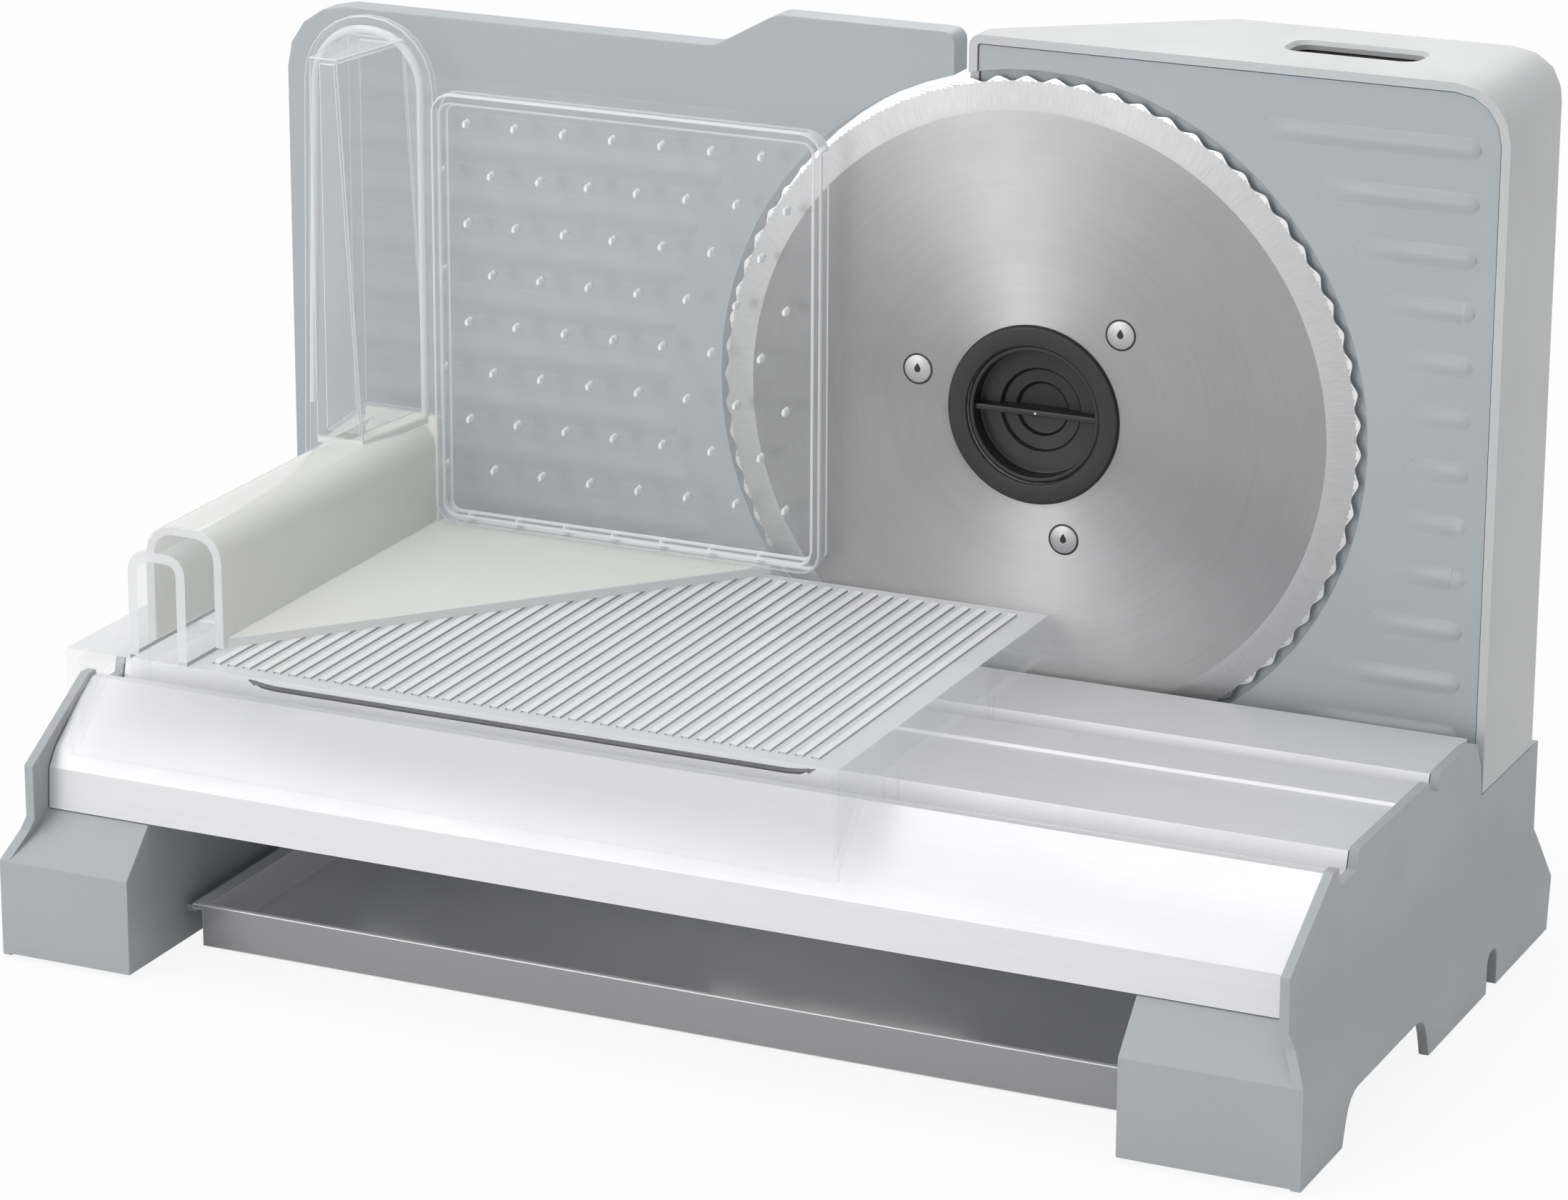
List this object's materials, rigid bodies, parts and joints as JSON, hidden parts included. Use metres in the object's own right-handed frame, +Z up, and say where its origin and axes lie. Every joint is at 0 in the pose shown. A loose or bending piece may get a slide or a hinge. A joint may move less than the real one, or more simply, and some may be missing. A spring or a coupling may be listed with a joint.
{
  "type": "food slicer",
  "caption": "Compact electric food slicer with a wavy round blade, a sliding clear carriage with a remnant pusher, a gauge plate with a dial, and a drip tray under its table.",
  "frame": {"origin": "on the ground, under the middle of the machine's bounding box", "axes": "+X along the table towards the motor housing's end, +Y from the user's side to the back, +Z up"},
  "size_m": [0.3416, 0.1982, 0.225],
  "materials": {
    "table_aluminium": "satin drawn aluminium with a pale anodised face",
    "side_grey": "fine-grained grey plastic",
    "housing_grey": "fine-grained pale grey plastic",
    "blue_grey": "smooth blue-grey plastic",
    "blade_steel": "spun satin steel with a ground bevel",
    "spring_steel": "drawn wire",
    "bright_steel": "ground rod",
    "charcoal": "charcoal plastic",
    "clear": "clear moulded plastic",
    "milky": "milky translucent plastic",
    "tray_grey": "glossy grey plastic",
    "rubber": "soft black rubber",
    "gear_nylon": "waxy gear plastic",
    "bearing_brass": "turned brass",
    "ferrite": "dull ferrite",
    "winding": "lacquered copper wire",
    "zinc_steel": "zinc-plated steel",
    "board": "circuit board",
    "lead_red": "insulated lead"
  },
  "bodies": {
    "base": {"table_top": "table_aluminium", "left_cheek": "side_grey", "right_cheek": "side_grey", "foot_pad_front_left": "rubber", "foot_pad_front_right": "rubber", "foot_pad_rear_left": "rubber", "foot_pad_rear_right": "rubber", "rear_beam": "side_grey", "cord_inlet": "rubber", "housing_shell": "housing_grey", "housing_cover": "blue_grey", "switch_body": "charcoal", "blade_axle": "zinc_steel", "axle_nut": "zinc_steel", "gear_plate": "zinc_steel", "idler_axle": "zinc_steel", "motor_can": "zinc_steel", "motor_magnet": "ferrite", "motor_end_cap": "charcoal", "motor_board": "board", "inlet_lead": "charcoal", "switch_lead": "lead_red", "motor_lead": "lead_red", "guide_rod_left": "bright_steel", "guide_rod_right": "bright_steel", "plate_screw_left": "zinc_steel", "plate_screw_right": "zinc_steel", "motor_screw_upper": "zinc_steel", "motor_screw_lower": "zinc_steel", "beam_screw_left": "zinc_steel", "beam_screw_right": "zinc_steel", "housing_screw_left": "zinc_steel", "housing_screw_right": "zinc_steel"},
    "blade_unit": {"blade": "blade_steel", "blade_carrier": "gear_nylon", "hub_ring": "charcoal", "blade_gear": "gear_nylon", "blade_bush": "bearing_brass", "blade_rivet_right": "blade_steel", "blade_rivet_left": "blade_steel", "blade_rivet_low": "blade_steel"},
    "lock_knob": {"blade_lock": "charcoal"},
    "idler": {"idler_pinion": "gear_nylon", "idler_wheel": "gear_nylon"},
    "rotor": {"rotor_core": "winding", "motor_shaft": "bright_steel", "motor_pinion": "bearing_brass"},
    "carriage": {"carriage_deck": "clear", "carriage_spring": "spring_steel"},
    "pusher": {"pusher_body": "milky", "pusher_plate": "clear"},
    "gauge": {"gauge_plate": "blue_grey", "gauge_carrier": "charcoal", "gauge_screw_left": "zinc_steel", "gauge_screw_right": "zinc_steel"},
    "dial": {"dial_knob": "charcoal", "dial_shaft": "bright_steel"},
    "switch": {"switch_button": "charcoal"},
    "drip_tray": {"tray": "tray_grey"}
  },
  "joints": [
    {"name": "carriage_slide", "type": "slide", "parent": "base", "child": "carriage", "axis": [1, 0, 0], "range_m": [-0.006, 0.11]},
    {"name": "pusher_slide", "type": "slide", "parent": "carriage", "child": "pusher", "axis": [0, -1, 0], "range_m": [0, 0.08]},
    {"name": "gauge_slide", "type": "slide", "parent": "base", "child": "gauge", "axis": [0, 1, 0], "range_m": [0, 0.02]},
    {"name": "dial_turn", "type": "hinge", "parent": "base", "child": "dial", "pos_m": [-0.0889, 0.0853, 0.056], "axis": [0, 1, 0], "range_deg": [0, 300]},
    {"name": "blade_spin", "type": "hinge", "parent": "base", "child": "blade_unit", "pos_m": [0.0461, 0.0409, 0.131], "axis": [0, 1, 0], "continuous": true},
    {"name": "idler_spin", "type": "hinge", "parent": "base", "child": "idler", "pos_m": [0.08134, 0.0479, 0.11817], "axis": [0, 1, 0], "continuous": true},
    {"name": "rotor_spin", "type": "hinge", "parent": "base", "child": "rotor", "pos_m": [0.10953, 0.0689, 0.10791], "axis": [0, 1, 0], "continuous": true},
    {"name": "lock_turn", "type": "hinge", "parent": "blade_unit", "child": "lock_knob", "pos_m": [0.0461, 0.0439, 0.131], "axis": [0, 1, 0], "range_deg": [0, 90]},
    {"name": "switch_slide", "type": "slide", "parent": "base", "child": "switch", "axis": [1, 0, 0], "range_m": [-0.004, 0.004]},
    {"name": "tray_slide", "type": "slide", "parent": "base", "child": "drip_tray", "axis": [0, -1, 0], "range_m": [0, 0.11]}
  ],
  "couplings": [
    {"joint": "idler_spin", "follows": "blade_spin", "ratio": -4},
    {"joint": "rotor_spin", "follows": "blade_spin", "ratio": 12},
    {"joint": "dial_turn", "follows": "gauge_slide", "rad_per_m": 261.7}
  ]
}
